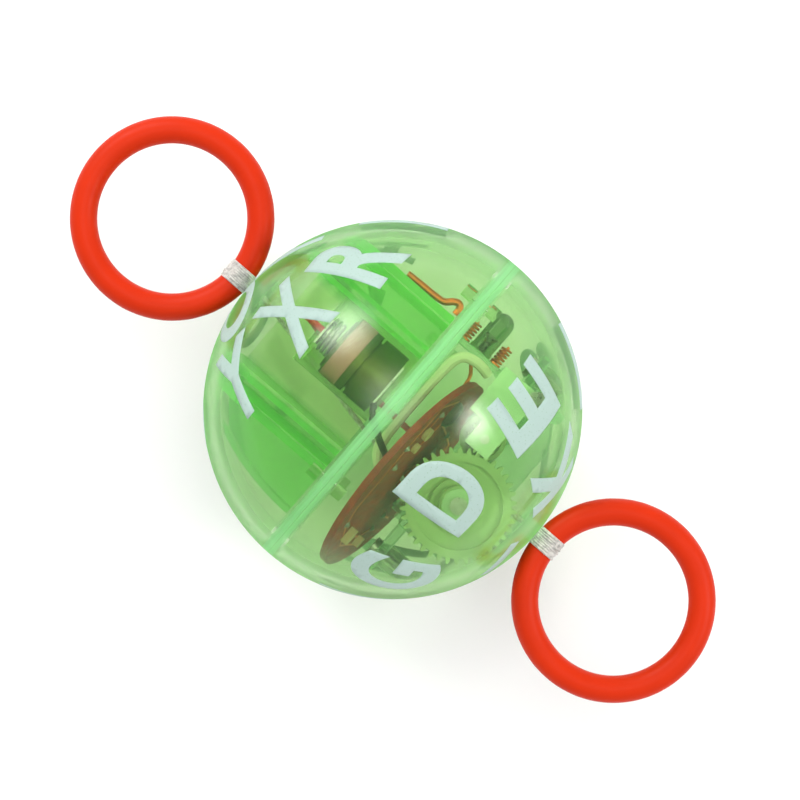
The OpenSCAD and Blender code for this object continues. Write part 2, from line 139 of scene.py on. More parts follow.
def soft_light(name, place, size, watts):
    """A round softbox that is brightest in its middle and fades to its rim."""
    data = bpy.data.lights.new(name, "AREA")
    data.shape = "DISK"
    data.size = size
    data.energy = watts
    data.use_nodes = True
    tree = data.node_tree
    where = tree.nodes.new("ShaderNodeNewGeometry")
    offset = tree.nodes.new("ShaderNodeVectorMath")
    offset.operation = "DISTANCE"
    offset.inputs[1].default_value = (0.5, 0.5, 0)
    fade = tree.nodes.new("ShaderNodeMapRange")
    fade.interpolation_type = "SMOOTHSTEP"
    fade.inputs["From Max"].default_value = 0.5
    fade.inputs["To Min"].default_value = GLOW
    fade.inputs["To Max"].default_value = 0
    tree.links.new(where.outputs["Parametric"], offset.inputs[0])
    tree.links.new(offset.outputs["Value"], fade.inputs["Value"])
    tree.links.new(fade.outputs["Result"], tree.nodes["Emission"].inputs["Strength"])
    light = bpy.data.objects.new(name, data)
    light.location = place
    light.rotation_euler = (-Vector(place)).to_track_quat("-Z", "Y").to_euler()
    bpy.context.collection.objects.link(light)


def make_room():
    """A white room with softboxes and a pale floor under the ball."""
    world = bpy.data.worlds.new("room")
    world.use_nodes = True
    sky = world.node_tree.nodes["Background"]
    sky.inputs["Color"].default_value = (1, 1, 1, 1)
    sky.inputs["Strength"].default_value = SKY
    bpy.context.scene.world = world
    for name, (place, size, watts) in SOFTBOXES.items():
        soft_light(name, place, size, watts)
    bpy.context.scene.view_settings.view_transform = "Standard"
    mesh = bpy.data.meshes.new("floor")
    z = -BALL_R - FLOOR_DROP
    corners = ((-1, -1), (1, -1), (1, 1), (-1, 1))
    mesh.from_pydata([(x * FLOOR_HALF, y * FLOOR_HALF, z) for x, y in corners], [], [(0, 1, 2, 3)])
    floor = bpy.data.objects.new("floor", mesh)
    bpy.context.collection.objects.link(floor)
    mesh.materials.append(plain("floor_paint", (FLOOR_GREY, FLOOR_GREY, FLOOR_GREY), 0.9)[0])


# ---- material helpers ----


def plain(name, colour, rough):
    """A material with one Principled shader, and that shader."""
    m = bpy.data.materials.new(name)
    m.use_nodes = True
    s = m.node_tree.nodes["Principled BSDF"]
    s.inputs["Base Color"].default_value = (*colour, 1)
    s.inputs["Roughness"].default_value = rough
    return m, s


class Nodes:
    """Short calls for one material's node tree."""

    def __init__(self, material):
        self.tree = material.node_tree
        self.point = self.add("ShaderNodeTexCoord").outputs["Object"]

    def add(self, kind, **values):
        """A new node, with its settings."""
        n = self.tree.nodes.new(kind)
        for k, v in values.items():
            setattr(n, k, v)
        return n

    def link(self, a, b):
        self.tree.links.new(a, b)

    def place(self, axis):
        """The place on the object along X, Y or Z."""
        n = self.add("ShaderNodeSeparateXYZ")
        self.link(self.point, n.inputs["Vector"])
        return n.outputs[axis]

    def noise(self, scale, detail=3.0, stretch=None):
        """Noise with features about 1/scale metres wide."""
        n = self.add("ShaderNodeTexNoise")
        n.inputs["Scale"].default_value = scale
        n.inputs["Detail"].default_value = detail
        source = self.point
        if stretch:
            m = self.add("ShaderNodeMapping")
            m.inputs["Scale"].default_value = stretch
            self.link(self.point, m.inputs["Vector"])
            source = m.outputs["Vector"]
        self.link(source, n.inputs["Vector"])
        return n.outputs["Fac"]

    def spots(self, scale):
        """Distance to the nearest of many scattered points."""
        n = self.add("ShaderNodeTexVoronoi")
        n.inputs["Scale"].default_value = scale
        self.link(self.point, n.inputs["Vector"])
        return n.outputs["Distance"]

    def ramp(self, value, stops):
        """A colour for each value, from (value, colour) stops."""
        n = self.add("ShaderNodeValToRGB")
        while len(n.color_ramp.elements) < len(stops):
            n.color_ramp.elements.new(0.5)
        for e, (at, colour) in zip(n.color_ramp.elements, stops):
            e.position = at
            e.color = (*colour, 1)
        self.link(value, n.inputs["Fac"])
        return n.outputs["Color"]

    def between(self, value, low, high, first=0.0, last=1.0):
        """value taken from first..last to low..high."""
        n = self.add("ShaderNodeMapRange")
        n.inputs["From Min"].default_value = first
        n.inputs["From Max"].default_value = last
        n.inputs["To Min"].default_value = low
        n.inputs["To Max"].default_value = high
        self.link(value, n.inputs["Value"])
        return n.outputs["Result"]

    def product(self, a, b):
        n = self.add("ShaderNodeMath", operation="MULTIPLY")
        self.link(a, n.inputs[0])
        self.link(b, n.inputs[1])
        return n.outputs["Value"]

    def blend(self, amount, first, last):
        """A colour that goes from the socket first to the fixed colour last."""
        n = self.add("ShaderNodeMixRGB")
        n.inputs["Color2"].default_value = (*last, 1)
        self.link(amount, n.inputs["Fac"])
        self.link(first, n.inputs["Color1"])
        return n.outputs["Color"]

    def bump(self, height, distance, strength=1.0, over=None):
        """A surface direction bent by height, on top of the one that over gives."""
        n = self.add("ShaderNodeBump")
        n.inputs["Distance"].default_value = distance
        n.inputs["Strength"].default_value = strength
        self.link(height, n.inputs["Height"])
        if over:
            self.link(over, n.inputs["Normal"])
        return n.outputs["Normal"]

    def even(self, kind, colour):
        """A shader of one colour."""
        n = self.add(kind)
        n.inputs["Color"].default_value = (*colour, 1)
        return n.outputs["BSDF"]

    def mix(self, amount, a, b):
        """Shader a and shader b, by an amount that is a number or a socket."""
        n = self.add("ShaderNodeMixShader")
        if isinstance(amount, float):
            n.inputs["Fac"].default_value = amount
        else:
            self.link(amount, n.inputs["Fac"])
        self.link(a, n.inputs[1])
        self.link(b, n.inputs[2])
        return n.outputs["Shader"]

    def output(self, surface):
        """Makes the shader the material's surface."""
        self.link(surface, self.tree.nodes["Material Output"].inputs["Surface"])


def shade(colour, by):
    """The colour made darker or lighter."""
    return tuple(min(1, c * by) for c in colour)


def moulded(name, colour, rough, vary=0.06, grain=2200, depth=0.02 * MM, gloss=0.5):
    """Opaque moulded plastic with a faint flow pattern and fine grain."""
    m, s = plain(name, colour, rough)
    s.inputs["Specular IOR Level"].default_value = gloss
    n = Nodes(m)
    tone = n.noise(160, 4)
    flow = n.ramp(tone, [(0.3, shade(colour, 1 - vary)), (0.7, shade(colour, 1 + vary))])
    n.link(flow, s.inputs["Base Color"])
    n.link(n.between(n.noise(420, 3), rough - 0.07, rough + 0.09), s.inputs["Roughness"])
    n.link(n.bump(n.noise(grain, 2), depth, 0.35), s.inputs["Normal"])
    return m


def metal(name, colour, rough, stretch=(1, 1, 1)):
    """Bare metal with fine marks, which stretch draws out."""
    m, s = plain(name, colour, rough)
    s.inputs["Metallic"].default_value = 1
    n = Nodes(m)
    tone = n.noise(700, 4, stretch)
    marks = n.ramp(tone, [(0.3, shade(colour, 0.8)), (0.7, shade(colour, 1.1))])
    n.link(marks, s.inputs["Base Color"])
    n.link(n.between(tone, rough - 0.1, rough + 0.15), s.inputs["Roughness"])
    n.link(n.bump(n.noise(2600, 2, stretch), 0.01 * MM, 0.4), s.inputs["Normal"])
    return m


LAMP_TINT = 0.08  # the share of the tint that lamp light picks up at each surface of clear plastic
COAT_ROUGH = 0.14
HAZE_FROM = 0.38  # the haze starts to grow at this much slant of the surface, where 1 is edge on,
HAZE_TO = 0.9  # and is full at this much
HALF_LIT = 0.5  # the share of the haze that is lit from its own side, in the thin band and in the seam
THIN_HAZE = 0.55  # the share of haze in the thin band
THIN_TINT = 0.35  # how much of the tint the thin band has
THIN_EDGE = 0.1  # the share of the thin band's width that each soft edge takes
SEAM_LEFT = -1.65 * MM
SEAM_RIGHT = 0.9 * MM
# How milky the seam is, from its left edge (0) to its right edge (1): two rims and the line between them.
SEAM_HAZE = [(0.0, 0), (0.08, 0.30), (0.2, 0.34), (0.34, 0.52), (0.52, 0.46), (0.58, 0.2), (0.62, 0.4),
             (0.9, 0.3), (1.0, 0)]


def tinted(name, colour, rough, haze, haze_colour, ior=1.46, wave=0.012 * MM, haze_edge=None, coat=0.0,
           seam=None, front=0.0, thin=None, pale=None):
    """See-through tinted plastic with a share of milky haze, which grows to haze_edge where the wall is
    seen edge on. front is the share of the haze that is lit from its own side. seam is the colour of the
    seam's rims. thin is the (low, high) band across the pull axis where the plastic is thin, and pale is
    the colour of the haze there. Lamps light what is behind the plastic, since shadow rays pass it with
    little tint."""
    m, s = plain(name, colour, rough)
    s.inputs["Transmission Weight"].default_value = 1
    s.inputs["IOR"].default_value = ior
    s.inputs["Coat Weight"].default_value = coat
    s.inputs["Coat Roughness"].default_value = COAT_ROUGH
    n = Nodes(m)
    grain = n.bump(n.noise(1500, 2), 0.004 * MM, 0.25)
    n.link(n.bump(n.noise(90, 2), wave, 0.5, grain), s.inputs["Normal"])
    n.link(n.between(n.noise(260, 3), rough * 0.6, rough * 1.6), s.inputs["Roughness"])
    tone = n.noise(45, 3)
    tint = n.ramp(tone, [(0.35, shade(colour, 0.97)), (0.65, shade(colour, 1.03))])
    edge = n.add("ShaderNodeLayerWeight")
    milky = n.between(edge.outputs["Facing"], haze, haze_edge or haze, HAZE_FROM, HAZE_TO)
    surface = n.mix(milky, s.outputs["BSDF"], milk(n, haze_colour, front))
    if thin:
        inside = thin_band(n, *thin)
        tint = n.blend(inside, tint, [c ** THIN_TINT for c in colour])
        thin_surface = n.mix(THIN_HAZE, s.outputs["BSDF"], milk(n, pale, HALF_LIT))
        surface = n.mix(inside, surface, thin_surface)
    n.link(tint, s.inputs["Base Color"])
    if seam:
        surface = n.mix(seam_band(n), surface, milk(n, seam, HALF_LIT))
    clear = n.even("ShaderNodeBsdfTransparent", [c ** LAMP_TINT for c in colour])
    path = n.add("ShaderNodeLightPath")
    n.output(n.mix(path.outputs["Is Shadow Ray"], surface, clear))
    return m


def thin_band(n, low, high):
    """1 between low and high along Y, and 0 outside, with soft edges."""
    y = n.place("Y")
    soft = THIN_EDGE * (high - low)
    rise = n.between(y, 0, 1, low, low + soft)
    return n.product(rise, n.between(y, 1, 0, high - soft, high))


def seam_band(n):
    """How milky the shell is at the seam, from the place along the pull axis. It is 0 elsewhere."""
    across = n.between(n.place("X"), 0, 1, SEAM_LEFT, SEAM_RIGHT)
    return n.ramp(across, [(at, (haze, haze, haze)) for at, haze in SEAM_HAZE])


def milk(n, colour, front):
    """The look of haze in the plastic. front is the share that is lit from its own side."""
    through = n.even("ShaderNodeBsdfTranslucent", colour)
    back = n.even("ShaderNodeBsdfDiffuse", colour)
    return n.mix(front, through, back)


def fibre(name, colour):
    """Fuzzy thread, darkened in noise patches as painted shade for the gaps between its fibres."""
    m, s = plain(name, colour, 0.85)
    s.inputs["Sheen Weight"].default_value = 0.35
    s.inputs["Sheen Roughness"].default_value = 0.5
    n = Nodes(m)
    # Noise sets the thread's colour from 0.55 to 1.08 of its own: partly a real change of tone, partly
    # painted shade for the gaps between fibres.
    tone_and_gap_shade = n.ramp(n.noise(1300, 4), [(0.32, shade(colour, 0.55)), (0.6, shade(colour, 1.08))])
    n.link(tone_and_gap_shade, s.inputs["Base Color"])
    n.link(n.bump(n.noise(5200, 3), 0.05 * MM, 0.6), s.inputs["Normal"])
    return m


def laminate(name, colour):
    """Brown-red circuit laminate with darker fibres."""
    m, s = plain(name, colour, 0.5)
    n = Nodes(m)
    weave = n.noise(900, 3, (1, 1, 0.15))
    fibres = n.ramp(weave, [(0.35, shade(colour, 0.75)), (0.65, shade(colour, 1.25))])
    n.link(fibres, s.inputs["Base Color"])
    n.link(n.between(n.noise(500, 2), 0.4, 0.65), s.inputs["Roughness"])
    n.link(n.bump(weave, 0.04 * MM, 0.5), s.inputs["Normal"])
    return m


INK_THROUGH = 0.15  # the share of light that comes through the ink


def print_ink(name, colour, hole):
    """Pale screen-printed ink, with pinholes of their own colour where it did not take."""
    m, s = plain(name, colour, 0.55)
    n = Nodes(m)
    n.link(n.ramp(n.spots(2100), [(0.0, hole), (0.13, hole), (0.2, colour)]), s.inputs["Base Color"])
    n.link(n.between(n.noise(700, 2), 0.45, 0.65), s.inputs["Roughness"])
    n.link(n.bump(n.noise(3000, 2), 0.03 * MM, 0.5), s.inputs["Normal"])
    through = n.even("ShaderNodeBsdfTranslucent", colour)
    n.output(n.mix(INK_THROUGH, s.outputs["BSDF"], through))
    return m


def make_materials():
    """Every material, by the name of its look."""
    return {
        "shell": tinted("shell_clear", (0.68, 0.845, 0.565), 0.03, 0.06, (0.44, 0.80, 0.33), 1.22,
                        haze_edge=0.8, coat=0.42, seam=(0.46, 0.88, 0.50)),
        "outlet": tinted("outlet_clear", (0.55, 0.90, 0.55), 0.15, 0.45, (0.42, 0.88, 0.42), 1.3),
        "cage": tinted("cage_clear", (0.58, 0.965, 0.50), 0.08, 0.26, (0.30, 1.0, 0.22), 1.3,
                       haze_edge=0.75, front=0.35, thin=CAGE_MIDDLE, pale=(0.84, 0.95, 0.60)),
        "web": tinted("web_clear", (0.62, 0.97, 0.52), 0.08, 0.35, (0.34, 1.0, 0.28), 1.3, front=0.35),
        "box": tinted("box_clear", (0.74, 0.93, 0.60), 0.08, 0.3, (0.50, 0.90, 0.30), 1.3),
        "frame": tinted("frame_clear", (0.76, 0.95, 0.76), 0.10, 0.2, (0.50, 0.92, 0.50), 1.3,
                        haze_edge=0.45),
        "pale": tinted("pale_clear", (0.74, 0.94, 0.74), 0.12, 0.55, (0.74, 0.95, 0.66), 1.3, front=0.6),
        "led": tinted("led_resin", (0.26, 0.42, 0.22), 0.05, 0.15, (0.26, 0.42, 0.18)),
        "ring": moulded("ring_plastic", (0.60, 0.026, 0.002), 0.42, 0.04, gloss=0.12),
        "gear": moulded("gear_plastic", (0.36, 0.53, 0.22), 0.45),
        "cell": metal("cell_steel", (0.18, 0.19, 0.06), 0.42, (0.2, 1, 1)),
        "steel": metal("steel", (0.58, 0.57, 0.55), 0.28),
        "copper": metal("copper", (0.86, 0.20, 0.05), 0.34),
        "solder": metal("solder", (0.38, 0.36, 0.33), 0.38),
        "red": moulded("red_insulation", (0.62, 0.03, 0.015), 0.4),
        "wrap": moulded("cell_wrap", (0.50, 0.21, 0.20), 0.4),
        "black": moulded("black_insulation", (0.02, 0.02, 0.02), 0.4),
        "cream": moulded("cream_insulation", (0.66, 0.70, 0.46), 0.42),
        "board": laminate("board_laminate", (0.25, 0.010, 0.002)),
        "resin": moulded("chip_resin", (0.035, 0.022, 0.014), 0.22),
        "fittings": moulded("board_fittings", (0.55, 0.40, 0.20), 0.45),
        "cord": fibre("cord_fibre", (0.64, 0.62, 0.58)),
        "ink": print_ink("letter_ink", (0.47, 0.63, 0.57), (0.26, 0.45, 0.29)),
    }


CAD_LOOKS = {
    "shell": ["left_shell", "right_shell"],
    "outlet": ["left_outlet", "right_outlet"],
    "cage": ["battery_cage"],
    "box": ["battery_box"],
    "web": ["left_wing"],
    "frame": ["mech_frame"],
    "pale": ["spring_cup", "shaft_cap", "pinion_bridge"],
    "cell": ["cell_outer", "cell_inner"],
    "steel": ["contact_plate", "contact_spring", "spool_shaft", "pinion_pin", "bridge_screw",
              "frame_screws", "mainspring"],
    "red": ["red_wire"],
    "black": ["black_wire"],
    "cream": ["white_wire"],
    "copper": ["copper_lead", "led_leads", "vibration_springs"],
    "board": ["circuit_board"],
    "resin": ["chip_blob"],
    "fittings": ["board_parts"],
    "led": ["led"],
    "gear": ["spool", "spool_gear", "pinion", "flywheel"],
    "cord": ["cord_windings", "left_cord_run", "left_knot", "left_hitch", "right_cord_run", "right_knot",
             "right_hitch"],
    "ring": ["left_ring", "right_ring"],
}


def dress_cad(looks):
    """Gives each CAD node its material."""
    for look, names in CAD_LOOKS.items():
        for name in names:
            nodes[name].data.materials.clear()
            nodes[name].data.materials.append(looks[look])


# ---- mesh helpers ----


def new_piece(name, bm, material, body, replaces=()):
    """The mesh as a smooth-shaded piece. It rides on body, unless that is None."""
    mesh = bpy.data.meshes.new(name)
    bmesh.ops.recalc_face_normals(bm, faces=bm.faces)
    bm.to_mesh(mesh)
    bm.free()
    for p in mesh.polygons:
        p.use_smooth = True
    mesh.materials.append(material)
    piece = bpy.data.objects.new(name, mesh)
    bpy.context.collection.objects.link(piece)
    if replaces:
        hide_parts(*replaces)
    if body:
        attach(piece, body)
    return piece


def add_tube(bm, points, radius, sides=8, closed=False):
    """A round tube along points, whose sections do not twist. radius is one value or one per point."""
    count = len(points)
    radii = radius if isinstance(radius, list) else [radius] * count
    side = None
    rings = []
    for i, p in enumerate(points):
        before = points[(i - 1) % count] if closed or i else p
        after = points[(i + 1) % count] if closed or i < count - 1 else p
        along = (after - before).normalized()
        if side is None:
            side = along.orthogonal().normalized()
        side = (side - along * side.dot(along)).normalized()
        other = along.cross(side)
        ring = []
        for k in range(sides):
            a = TURN * k / sides
            ring.append(bm.verts.new(p + radii[i] * (math.cos(a) * side + math.sin(a) * other)))
        rings.append(ring)
    spans = count if closed else count - 1
    for i in range(spans):
        a, b = rings[i], rings[(i + 1) % count]
        for k in range(sides):
            j = (k + 1) % sides
            bm.faces.new((a[k], a[j], b[j], b[k]))
    if not closed:
        bm.faces.new(rings[0][::-1])
        bm.faces.new(rings[-1])


def add_lathe(bm, profile, place, axis, sides, wobble=0.0, seed=0):
    """A turned solid that stands on place along axis. profile is (radius, height) pairs from one end to
    the other, and wobble is how far its round is out of true."""
    rng = random.Random(seed)
    turn = Vector((0, 0, 1)).rotation_difference(axis)
    waves = [(rng.uniform(0, TURN), rng.uniform(0.5, 1)) for _ in range(3)]
    rings = []
    for r, h in profile:
        if r == 0:
            rings.append([bm.verts.new(place + turn @ Vector((0, 0, h)))])
            continue
        ring = []
        for k in range(sides):
            a = TURN * k / sides
            bend = sum(w * math.sin((i + 2) * a + f) for i, (f, w) in enumerate(waves))
            rr = r * (1 + wobble * bend)
            ring.append(bm.verts.new(place + turn @ Vector((rr * math.cos(a), rr * math.sin(a), h))))
        rings.append(ring)
    for a, b in zip(rings, rings[1:]):
        for k in range(sides):
            j = (k + 1) % sides
            corners = [a[k % len(a)], a[j % len(a)], b[j % len(b)], b[k % len(b)]]
            corners = list(dict.fromkeys(corners))
            if len(corners) > 2:
                bm.faces.new(corners)


def smooth_path(stops, steps):
    """Points along a Catmull-Rom curve through stops."""
    out = []
    for i in range(len(stops) - 1):
        a, b, c, d = (stops[min(max(i + k, 0), len(stops) - 1)] for k in (-1, 0, 1, 2))
        for k in range(steps):
            t = k / steps
            out.append(0.5 * (2 * b + (c - a) * t + (2 * a - 5 * b + 4 * c - d) * t * t
                              + (3 * b - a - 3 * c + d) * t ** 3))
    out.append(stops[-1])
    return out


def mm(*values):
    """A point given in millimetres."""
    return Vector(values) * MM


def profile_mm(pairs):
    """A lathe profile given in millimetres."""
    return [(r * MM, h * MM) for r, h in pairs]


# ---- printed letters ----

# Width and height, by the letter's turn. The last is for the narrow I.
LETTER_SIZES = {0: (10.0 * MM, 15.2 * MM), 90: (11.0 * MM, 13.6 * MM), -90: (2.3 * MM, 9.5 * MM)}
LETTER_CURVE = 8  # the points on each curve of a letter
LETTER_WELD = 1e-6  # corners of a letter that are nearer than this become one
LETTER_BOLD = 0.032  # how far each outline is moved out, as a share of the type size
INK_T = 0.06 * MM
INK_LIFT = INK_T / 3  # the letters lie this far off the shell before they are made thick
INK_STEP = 1.3 * MM  # the letters are cut into faces of this size, so that they bend
# Each letter: its character, its place along the pull axis as a share of the ball's radius,
# its angle round the pull axis from the top, and its own turn in degrees (0: top towards -X).
LEFT_LETTERS = [
    ("X", -0.70, 3, 0), ("R", -0.64, 37, 0), ("Y", -0.70, -34, 0), ("E", -0.60, 84, 0),
    ("P", -0.64, -89, 0), ("A", -0.66, 118, 0), ("V", -0.66, -122, 0), ("S", -0.64, 156, 0),
    ("L", -0.64, -156, 0), ("O", -0.955, -28, 0), ("H", -0.955, 70, 0), ("U", -0.955, 205, 0),
]
RIGHT_LETTERS = [
    ("D", 0.48, -9, 0), ("G", 0.55, -49, 0), ("E", 0.50, 32, 90), ("F", 0.57, 83, 0),
    ("W", 0.52, -86, 0), ("B", 0.50, 122, 90), ("N", 0.52, -126, 0), ("P", 0.50, 158, 90),
    ("Q", 0.52, -164, 0), ("K", 0.84, 35, 90), ("I", 0.93, -37, -90), ("Z", 0.90, 120, 90),
    ("C", 0.90, -125, 0),
]


def letter_mesh(char, width, height):
    """The flat letter, centred, cut into small faces."""
    data = bpy.data.curves.new("letter", "FONT")
    data.body = char
    data.offset = LETTER_BOLD
    data.resolution_u = LETTER_CURVE
    data.fill_mode = "FRONT"
    ob = bpy.data.objects.new("letter", data)
    bpy.context.collection.objects.link(ob)
    bpy.context.view_layer.update()
    mesh = bpy.data.meshes.new_from_object(ob.evaluated_get(bpy.context.evaluated_depsgraph_get()))
    bpy.data.objects.remove(ob)
    bm = bmesh.new()
    bm.from_mesh(mesh)
    bpy.data.meshes.remove(mesh)
    low = Vector([min(v.co[i] for v in bm.verts) for i in range(3)])
    high = Vector([max(v.co[i] for v in bm.verts) for i in range(3)])
    for v in bm.verts:
        share = v.co - (low + high) / 2
        v.co = Vector((share.x / (high.x - low.x) * width, share.y / (high.y - low.y) * height, 0))
    bmesh.ops.remove_doubles(bm, verts=bm.verts, dist=LETTER_WELD)
    bmesh.ops.triangulate(bm, faces=bm.faces)
    lines = int(height / INK_STEP) + 2
    for normal in (Vector((1, 0, 0)), Vector((0, 1, 0))):
        for k in range(-lines, lines + 1):
            geom = bm.verts[:] + bm.edges[:] + bm.faces[:]
            bmesh.ops.bisect_plane(bm, geom=geom, plane_co=normal * k * INK_STEP, plane_no=normal)
    return bm


def wrap_letter(bm, along, around, turn):
    """Bends the flat letter onto the ball, at a place along the pull axis and an angle round it."""
    tilt = math.asin(along)
    around = math.radians(around)
    out = Vector((along, math.cos(tilt) * math.sin(around), math.cos(tilt) * math.cos(around)))
    up = (Vector((-1, 0, 0)) + out * out.x).normalized()
    right = up.cross(out)
    spin = Matrix.Rotation(math.radians(turn), 3, out)
    up, right = spin @ up, spin @ right
    for v in bm.verts:
        flat = right * v.co.x + up * v.co.y
        length = flat.length
        angle = length / BALL_R
        direction = flat / length if length > 0 else flat
        v.co = (out * math.cos(angle) + direction * math.sin(angle)) * (BALL_R + INK_LIFT)


def make_letters(name, letters, ink):
    """All letters of one half, as one piece of thin ink on the shell."""
    whole = bmesh.new()
    for char, along, around, turn in letters:
        bm = letter_mesh(char, *LETTER_SIZES[turn])
        wrap_letter(bm, along, around, turn)
        part = bpy.data.meshes.new("part")
        bm.to_mesh(part)
        bm.free()
        whole.from_mesh(part)
        bpy.data.meshes.remove(part)
    bmesh.ops.solidify(whole, geom=whole.faces[:], thickness=INK_T)
    new_piece(name, whole, ink, "ball")


# ---- cord ----

THREAD_R = 0.19 * MM
HITCH_THREADS = 12
HITCH_STEPS = 40  # the points round each thread of the hitch
HITCH_STRAYS = 26
STRAY_R = 0.03 * MM
STRAY_STEPS = 5
NECK_THREADS = 8
NECK_END_R = 0.05 * MM  # each of these threads thins out to this under the hitch
NECK_STEPS = 5  # the points between two stops of a neck thread
LAY_PITCH = 4.0 * MM  # one full twist of the cord
CORD_STRANDS = 3
CORD_STEP = 0.5 * MM
WOUND_TURNS = 4
WOUND_STEPS = 48  # the points on each turn
WOUND_R = CORD_R * 0.95
PAY_ZONE = 1.1 * MM  # the stretch of cord inside the outlet that holds, packed, the cord that a full pull draws out
PAY_RINGS = 180


def side_name(side):
    """The name of side 1 or side -1."""
    return "right" if side > 0 else "left"


def hitch_point(side, y, angle, radius):
    """A point on a circle round the ring's section, at an angle from the ball's side."""
    return Vector((side * (TUBE_X - radius * math.cos(angle)), y, radius * math.sin(angle)))


def make_hitch(side, looks):
    """Fine threads laid side by side round the ring, in an even layer under a looser one, and strays."""
    rng = random.Random(41 + side)
    bm = bmesh.new()
    half = HITCH_W / 2 - 1.4 * THREAD_R
    for k in range(2 * HITCH_THREADS):
        lower = k < HITCH_THREADS
        y0 = -half + 2 * half * (k % HITCH_THREADS) / (HITCH_THREADS - 1)
        phase = rng.uniform(0, TURN)
        drift = 0 if lower else rng.uniform(0.05, 0.3) * MM
        lift = 0 if lower else rng.uniform(0.03, 0.15) * MM
        thick = THREAD_R * (0.9 if lower else rng.uniform(0.8, 1.15))
        points = []
        for i in range(HITCH_STEPS):
            a = TURN * i / HITCH_STEPS
            wave = math.sin(a + phase)
            y = max(-half, min(half, y0 + drift * wave))
            points.append(hitch_point(side, y, a, TUBE_R + thick + lift * (0.5 + 0.5 * wave)))
        add_tube(bm, points, thick, 6, closed=True)
    for _ in range(HITCH_STRAYS):
        add_stray(bm, rng, side, half)
    name = side_name(side)
    new_piece(f"{name}_hitch_threads", bm, looks["cord"], f"{name}_loop", [f"{name}_hitch"])


def add_stray(bm, rng, side, half):
    """One loose fibre that stands a little off the hitch."""
    y = rng.uniform(-half, half)
    edge = math.copysign(1, y) if rng.random() < 0.6 else 0
    start = rng.uniform(0, TURN)
    sweep = rng.uniform(0.2, 0.45) * rng.choice((-1, 1))
    rise = rng.uniform(0.1, 0.32) * MM
    points = []
    for i in range(STRAY_STEPS + 1):
        t = i / STRAY_STEPS
        out = TUBE_R + THREAD_R + rise * t
        points.append(hitch_point(side, y + edge * 0.5 * MM * t, start + sweep * t, out))
    add_tube(bm, points, [STRAY_R * (1 - 0.6 * i / STRAY_STEPS) for i in range(STRAY_STEPS + 1)], 4)


def make_neck(side, looks):
    """The threads that leave the outlet, spread above and below the ring's section and join the hitch."""
    rng = random.Random(17 + side)
    bm = bmesh.new()
    outer = TUBE_R + 3.1 * THREAD_R  # the neck threads run over both layers of the hitch
    half = HITCH_W / 2 - 2.2 * THREAD_R
    for face in (-1, 1):
        for k in range(NECK_THREADS):
            y = -half + 2 * half * k / (NECK_THREADS - 1) + rng.uniform(-0.05, 0.05) * MM
            lift = rng.uniform(-0.06, 0.08) * MM
            stops = [
                Vector((side * KNOT_X, 0.16 * y, face * 0.12 * MM)),
                Vector((side * (KNOT_X + 0.9 * MM), 0.4 * y, face * 0.35 * MM)),
                Vector((side * (OUTLET_OUT - 0.3 * MM), 0.74 * y, face * 0.9 * MM)),
                hitch_point(side, 0.95 * y, face * math.radians(44), outer + lift),
                hitch_point(side, y, face * math.radians(74), outer + lift),
                hitch_point(side, y, face * math.radians(104), outer - 0.1 * MM),
                hitch_point(side, y, face * math.radians(128), TUBE_R + NECK_END_R),
            ]
            path = smooth_path(stops, NECK_STEPS)
            thick = THREAD_R * rng.uniform(0.85, 1.1)
            tail = [thick + (NECK_END_R - thick) * i / NECK_STEPS for i in range(1, NECK_STEPS + 1)]
            add_tube(bm, path, [thick] * (len(path) - len(tail)) + tail, 6)
    knot = profile_mm([(0, 0), (0.7, 0.05), (1.0, 0.4), (0.85, 0.8), (0.95, 1.1), (0.5, 1.35), (0, 1.4)])
    add_lathe(bm, knot, Vector((side * KNOT_X, 0, 0)), Vector((side, 0, 0)), 20, 0.05, 3 + side)
    name = side_name(side)
    new_piece(f"{name}_neck_threads", bm, looks["cord"], f"{name}_swivel", [f"{name}_knot"])


def add_twisted(bm, centres, lengths, radius):
    """Strands twisted round a centre line. lengths gives how far along the cord each centre is."""
    strand = radius * 0.5
    frames = []
    side = None
    for i, p in enumerate(centres):
        along = (centres[min(i + 1, len(centres) - 1)] - centres[max(i - 1, 0)]).normalized()
        if side is None:
            side = along.orthogonal().normalized()
        side = (side - along * side.dot(along)).normalized()
        frames.append((p, side, along.cross(side)))
    for s in range(CORD_STRANDS):
        points = []
        for (p, u, v), length in zip(frames, lengths):
            a = TURN * (length / LAY_PITCH + s / CORD_STRANDS)
            points.append(p + (radius - strand) * (math.cos(a) * u + math.sin(a) * v))
        add_tube(bm, points, strand, 6)


def make_cord(side, looks):
    """A twisted cord from the spool to its outlet. Its last stretch is packed: it holds the twists of the
    whole pull, at points spaced by an inverse smoothstep.
    """
    start = Vector((SPOOL.x, SPOOL.y + side * WIND_R, 0))
    end = Vector((side * CORD_END, 0, 0))
    line = end - start
    pay_start = end - line.normalized() * PAY_ZONE
    still = (pay_start - start).length
    count = int(still / CORD_STEP)
    centres = [start.lerp(pay_start, i / count) for i in range(count)]
    lengths = [still * i / count for i in range(count)]
    for i in range(PAY_RINGS + 1):
        share = i / PAY_RINGS
        t = 0.5 - math.sin(math.asin(1 - 2 * share) / 3)  # where a smoothstep from pay_start to end reaches this share
        centres.append(pay_start.lerp(end, t))
        lengths.append(still + PULL * share)
    bm = bmesh.new()
    add_twisted(bm, centres, lengths, CORD_R)
    name = side_name(side)
    piece = new_piece(f"{name}_cord", bm, looks["cord"], None, [f"{name}_cord_run"])
    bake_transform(piece)


